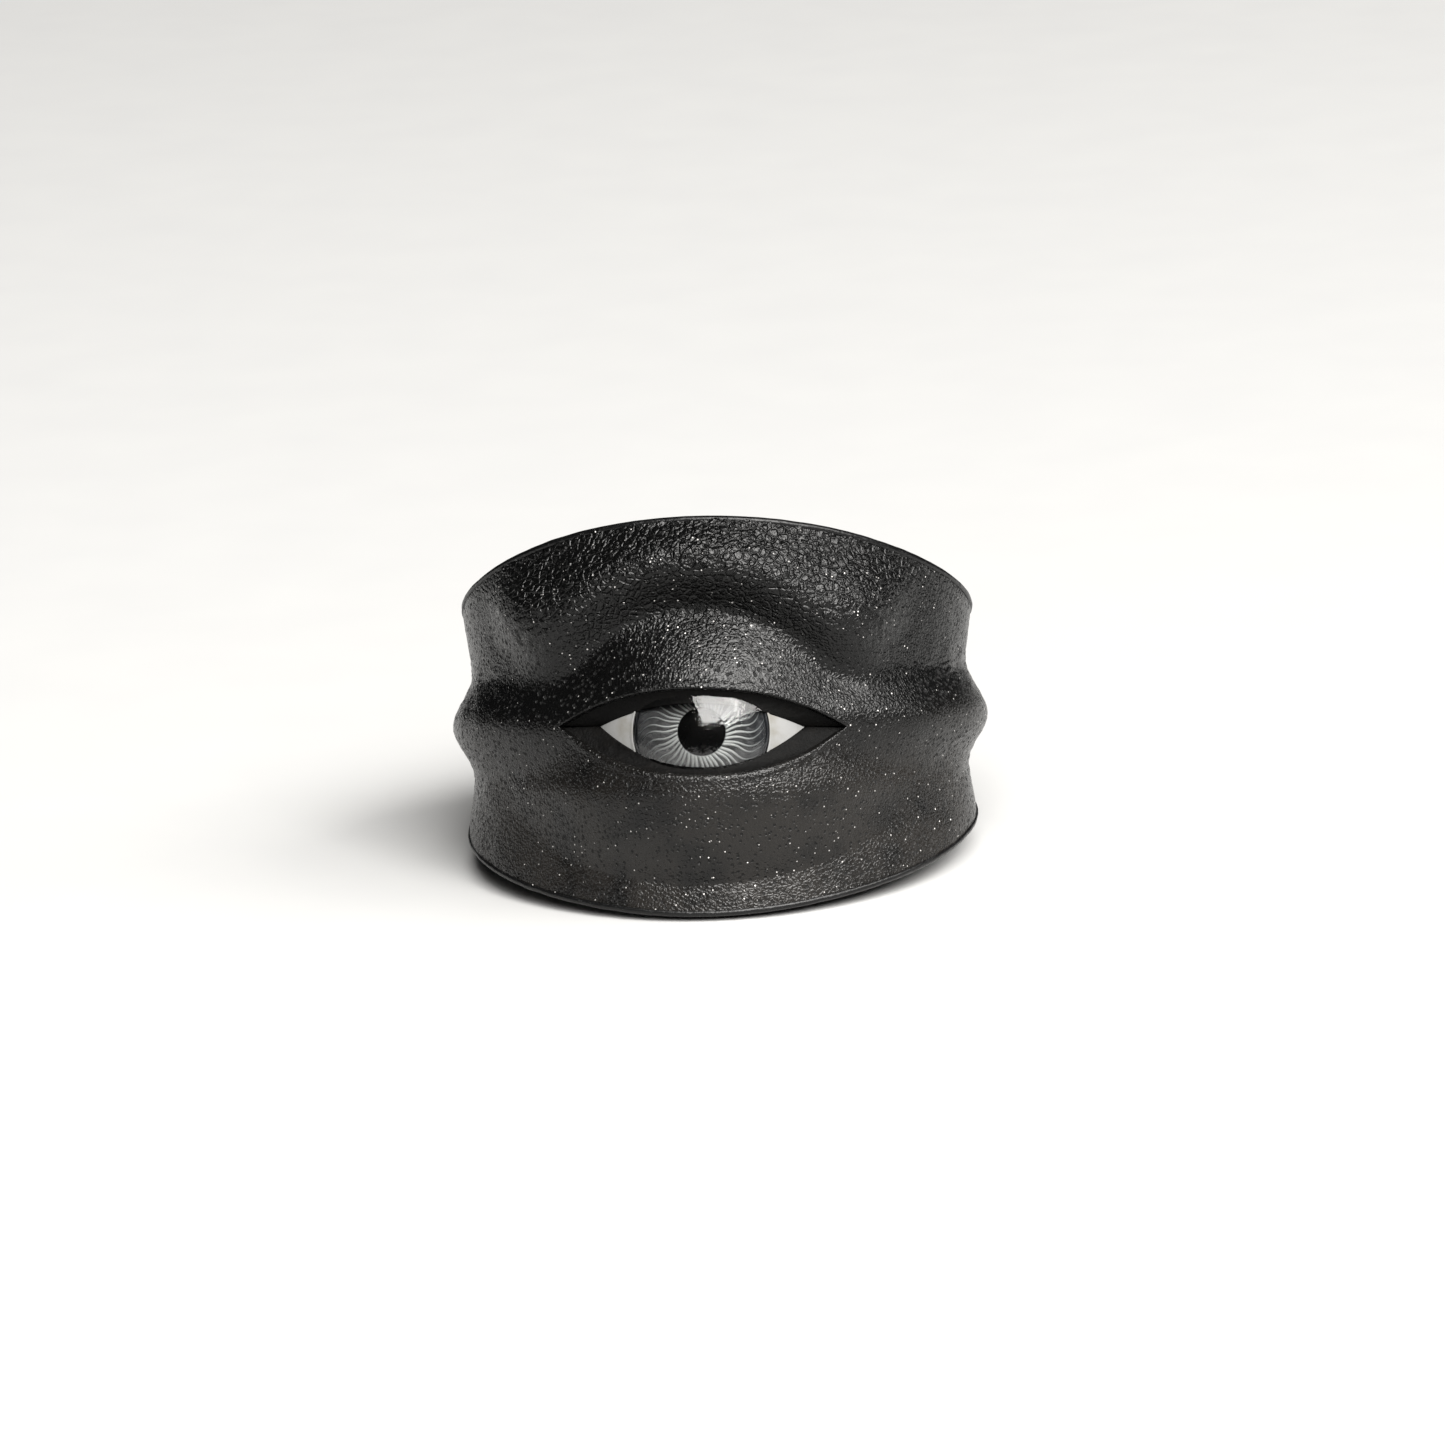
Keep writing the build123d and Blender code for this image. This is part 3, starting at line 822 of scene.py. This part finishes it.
OPENING_MIDDLE, OPENING_HALF = -0.03, 4.48
OPENING_TOP, OPENING_BOTTOM = 1.02, -1.74
FACING_COLUMNS, FACING_ROWS = 150, 14
FACING_THICK, FACING_SAG, FACING_LUMPS, FACING_GRIT = 0.16, 0.1, 0.035, 0.02
FACING_SUNK, FACING_OVERLAP, GLASS_GAP = 0.26, 0.05, 0.015


def glass_depth(x, z):
    """How far in front of the hole's axis the glass stands at a place on the eye."""
    inside = EYE_RADIUS**2 - x**2 - (z - EYE_Z) ** 2
    return EYE_DEPTH + math.sqrt(max(inside, 0.0))


def facing_rows(side):
    """The strip's face from the lid's edge to the glass, then its back."""
    slit_reach = SLIT_TOP if side > 0 else SLIT_BOTTOM
    open_reach = OPENING_TOP if side > 0 else OPENING_BOTTOM
    face, behind = [], []
    for r in range(FACING_ROWS + 1):
        share = r / FACING_ROWS
        row, back_row = [], []
        for c in range(FACING_COLUMNS + 1):
            along = -1 + 2 * c / FACING_COLUMNS
            turn = left_corner + (right_corner - left_corner) * (along + 1) / 2
            lid = lid_height(turn, slit_reach)
            sunk = cover_radius(turn, lid) - FACING_SUNK
            edge = Vector(round_the_hole(turn, sunk, lid + side * FACING_OVERLAP))
            x, z = almond(along, OPENING_MIDDLE, OPENING_HALF, SLIT_CORNER_Z, SLIT_TILT, open_reach)
            glass = Vector((x, -glass_depth(x, z) - GLASS_GAP, z))
            point = edge.lerp(glass, share)
            sag = FACING_SAG * math.sin(math.pi * share) * (1 - along**4)
            rough = FACING_LUMPS * noise.noise(point * 3.0) + FACING_GRIT * noise.noise(point * 8.0)
            point.y += sag + rough * math.sin(math.pi * min(share * 1.2, 1))
            row.append(tuple(point))
            back_row.append((point.x, point.y + FACING_THICK, point.z + side * FACING_THICK * 0.5))
        face.append(row)
        behind.append(back_row)
    return face + behind[::-1]


def burnished_brown():
    material, place, shader = new_finish("burnished_brown")
    fibre = cloud(place, 0.16, 4.0, 0.7)
    lightened = cloud(place, 0.7).step(0.45, 0.7)
    worn = (fibre * lightened).clamp()
    plug(shader, Base_Color=worn.blend(grey(0.0005, (1.0, 0.85, 0.7)), grey(0.0022, (1.0, 0.8, 0.62))))
    plug(shader, Roughness=0.5 + 0.25 * fibre)
    plug(shader, Specular_IOR_Level=0.1)
    plug(shader, Normal=bumped(fibre, 0.06))
    return material


brown = burnished_brown()
for side, where in ((1, "upper"), (-1, "lower")):
    facing = skin(f"{where}_facing_strip", facing_rows(side), closed_across=True)
    facing.data.materials.append(brown)
    stands_for(facing, "facing_leather", f"{where}_lid_facing")

# ---- The edge coats ----
# Black edge paint brushed in layers over the cut edges of cover and lining together, sanded and polished.
# It makes a low bead that turns a little way down the outer face.

# The bead's outline in steps out from the cover's face or from the finger hole, and up from the cut edge.
FACE_SIDE = ((0.015, -0.28), (0.035, -0.18), (0.01, -0.08), (-0.12, 0.04), (-0.35, 0.1), (-0.7, 0.13))
HOLE_SIDE = ((0.6, 0.13), (0.25, 0.09), (0.06, 0.0), (-0.02, -0.12), (-0.01, -0.28), (0.3, -0.22))
UNDERSIDE = (-0.35, -0.2)
COAT_COLUMNS, COAT_LIFT, COAT_WAVE = 420, 0.02, 0.02


def coat_rows(side):
    outline = [(True, *step) for step in FACE_SIDE]
    outline += [(False, *step) for step in HOLE_SIDE]
    outline.append((True, *UNDERSIDE))
    coat = []
    for from_face, offset, rise in outline:
        row = []
        for k in range(COAT_COLUMNS):
            turn = 2 * math.pi * k / COAT_COLUMNS
            wavy = COAT_WAVE * noise.noise(Vector((turn * 14, side * 3.0, 0.0)))
            face = cover_radius(turn, side * band_half(turn)) + COAT_LIFT + wavy
            radius = face + offset if from_face else HOLE_RADIUS + offset
            row.append(round_the_hole(turn, radius, side * (band_half(turn, radius) + rise + wavy * 0.5)))
        coat.append(row)
    return coat


def edge_paint():
    material, place, shader = new_finish("edge_paint")
    brushed = cloud(place, 0.35, 3.0)
    scuffs = cloud(place, 0.12, 4.0, 0.7).step(0.6, 0.75)
    plug(shader, Base_Color=scuffs.blend(grey(0.002, (1.0, 1.0, 1.05)), grey(0.02)))
    plug(shader, Roughness=0.25 + 0.2 * brushed + 0.2 * scuffs)
    plug(shader, Specular_IOR_Level=0.3)
    plug(shader, Normal=bumped(brushed + scuffs * 0.5, 0.05, 0.9))
    return material


paint = edge_paint()
for side, where in ((1, "upper"), (-1, "lower")):
    coat = skin(f"{where}_bead", coat_rows(side), closed_along=True, closed_across=True)
    coat.data.materials.append(paint)
    stands_for(coat, "edge_paint", f"{where}_edge_coat")

# ---- The stitches at the back ----
# Short stitches of waxed black linen thread in two columns through the lap, pulled tight so that each sinks
# a little into the leather. The thread is laid from two strands, which show as a twist.

STITCH_COLUMNS, STITCH_ROWS = (math.radians(173), math.radians(186)), (-1, 0, 1)
STITCH_PITCH, STITCH_HALF, STITCH_RADIUS = 1.5, 0.55, 0.19
STITCH_SUNK, STITCH_BOW, STITCH_TWIST, STRAND_BULGE = 0.3, 0.38, 7.0, 0.13
STITCH_STEPS, STITCH_SIDES = 30, 20


def stitch_rows(turn, height):
    """A twisted thread that rises from one hole, lies along the lap, and dives into the next."""
    rows = []
    for k in range(STITCH_STEPS + 1):
        share = 2 * k / STITCH_STEPS - 1
        bow = 1 - abs(share) ** 3.5
        lie = cover_radius(turn, height) - STITCH_SUNK + STITCH_BOW * bow
        thick = STITCH_RADIUS * (0.75 + 0.25 * bow)
        row = []
        for s in range(STITCH_SIDES):
            angle = 2 * math.pi * s / STITCH_SIDES
            strand = 1 + STRAND_BULGE * math.cos(2 * angle + STITCH_TWIST * share)
            sideways = thick * strand * math.cos(angle)
            outwards = thick * strand * math.sin(angle)
            row.append(round_the_hole(turn + sideways / lie, lie + outwards, height + STITCH_HALF * share))
        rows.append(row)
    return rows


def waxed_thread():
    material, place, shader = new_finish("waxed_thread")
    lint = cloud(place, 0.06, 3.0)
    plug(shader, Base_Color=lint.blend(grey(0.008), grey(0.03)))
    plug(shader, Roughness=0.45 + 0.2 * lint)
    plug(shader, Normal=bumped(lint, 0.02, 0.7))
    return material


thread = waxed_thread()
stitch_places = [(turn, row * STITCH_PITCH) for turn in STITCH_COLUMNS for row in STITCH_ROWS]
for number, (turn, height) in enumerate(stitch_places, 1):
    stitch = skin(f"linen_stitch_{number}", stitch_rows(turn, height), closed_along=True)
    stitch.data.materials.append(thread)
    stands_for(stitch, "waxed_thread", f"lap_stitch_{number}")

# ---- The table ----
# A small white table under the ring, and round it a wide white sweep that curves up behind every view. The
# sweep is kept out of the ring's reflections, as dark cards beside the table would do.

TABLE_RADIUS, SWEEP_FROM, SWEEP_RADIUS, SWEEP_HEIGHT = 0.11, 1.0, 1.5, 0.45
TABLE_SIDES, SWEEP_RINGS = 96, 30


def studio_surface(name, points, faces):
    mesh = bpy.data.meshes.new(name)
    mesh.from_pydata(points, [], faces)
    mesh.shade_smooth()
    made = bpy.data.objects.new(name, mesh)
    bpy.context.scene.collection.objects.link(made)
    return made


def circle(reach, lift):
    turns = (2 * math.pi * k / TABLE_SIDES for k in range(TABLE_SIDES))
    return [(reach * math.cos(turn), reach * math.sin(turn), lift) for turn in turns]


table = studio_surface("table", circle(TABLE_RADIUS, 0.0), [tuple(range(TABLE_SIDES))])

sweep_points, sweep_faces = [], []
for k in range(SWEEP_RINGS + 1):
    reach = TABLE_RADIUS + (SWEEP_RADIUS - TABLE_RADIUS) * k / SWEEP_RINGS
    beyond = max(0.0, (reach - SWEEP_FROM) / (SWEEP_RADIUS - SWEEP_FROM))
    sweep_points += circle(reach, SWEEP_HEIGHT * beyond**2)
for k in range(SWEEP_RINGS):
    for side in range(TABLE_SIDES):
        a = k * TABLE_SIDES + side
        b = k * TABLE_SIDES + (side + 1) % TABLE_SIDES
        sweep_faces.append((a, b, b + TABLE_SIDES, a + TABLE_SIDES))
sweep = studio_surface("sweep", sweep_points, sweep_faces)
sweep.visible_glossy = False
sweep.visible_diffuse = False


def white_card():
    material, place, shader = new_finish("white_card")
    tooth = cloud(place, 6.0)
    plug(shader, Base_Color=tooth.blend(grey(0.385), grey(0.4, (1.0, 1.0, 0.99))))
    plug(shader, Roughness=0.75 + 0.1 * tooth)
    return material


card = white_card()
for surface in (table, sweep):
    surface.data.materials.append(card)

# ---- Light and camera ----
# One large soft lamp in front, above and to the right, whose reflection shows in the cornea, a weaker one
# far round to the right, and a dim room. The camera looks square at the leaning band.

LAMP_DISTANCE = 1.0
LAMP_COLOUR = (1.0, 0.985, 0.96)
ROOM_COLOUR, ROOM_STRENGTH = (0.9, 0.97, 1.0, 1.0), 0.02
ring_middle = stand @ Vector((0, 0, 0))


def direction(azimuth, elevation):
    """Towards a place seen at an azimuth, from -Y round to +X, and an elevation, both in degrees."""
    a, e = math.radians(azimuth), math.radians(elevation)
    return Vector((math.sin(a) * math.cos(e), -math.cos(a) * math.cos(e), math.sin(e)))


def soft_lamp(name, azimuth, elevation, width, height, radiance):
    """A lit panel that faces the ring. Its size is in metres."""
    light = bpy.data.lights.new(name, "AREA")
    light.shape = "RECTANGLE"
    light.size, light.size_y = width, height
    light.energy = radiance * math.pi * width * height
    light.color = LAMP_COLOUR
    lamp = bpy.data.objects.new(name, light)
    towards = direction(azimuth, elevation)
    lamp.location = ring_middle + towards * LAMP_DISTANCE
    lamp.rotation_mode = "QUATERNION"
    lamp.rotation_quaternion = (-towards).to_track_quat("-Z", "Y")
    bpy.context.scene.collection.objects.link(lamp)


soft_lamp("key_lamp", azimuth=19, elevation=46, width=0.76, height=0.9, radiance=15.0)
soft_lamp("side_lamp", azimuth=66, elevation=42, width=0.9, height=0.6, radiance=9.0)

world = bpy.data.worlds.new("room")
bpy.context.scene.world = world
world.use_nodes = True
room = world.node_tree.nodes["Background"]
room.inputs["Color"].default_value = ROOM_COLOUR
room.inputs["Strength"].default_value = ROOM_STRENGTH

CAMERA_AZIMUTH, CAMERA_ELEVATION, CAMERA_ROLL = 4.3, 14.5, 2.7
CAMERA_DISTANCE = 0.4
FRAME_WIDTH = 0.065
AIM = (0.00011, -0.00032, 0.0)
SENSOR_WIDTH, CLIP_START = 36.0, 0.01
camera_data = bpy.data.cameras.new("camera")
camera_data.sensor_width = SENSOR_WIDTH
camera_data.lens = SENSOR_WIDTH * CAMERA_DISTANCE / FRAME_WIDTH
camera_data.clip_start = CLIP_START
camera = bpy.data.objects.new("camera", camera_data)
back = direction(CAMERA_AZIMUTH, CAMERA_ELEVATION)
turned = (-back).to_track_quat("-Z", "Y").to_matrix() @ Matrix.Rotation(-math.radians(CAMERA_ROLL), 3, "Z")
camera.rotation_mode = "QUATERNION"
camera.rotation_quaternion = turned.to_quaternion()
camera.location = ring_middle + back * CAMERA_DISTANCE + turned @ Vector(AIM)
bpy.context.scene.collection.objects.link(camera)
bpy.context.scene.camera = camera
bpy.context.scene.view_settings.view_transform = "Standard"
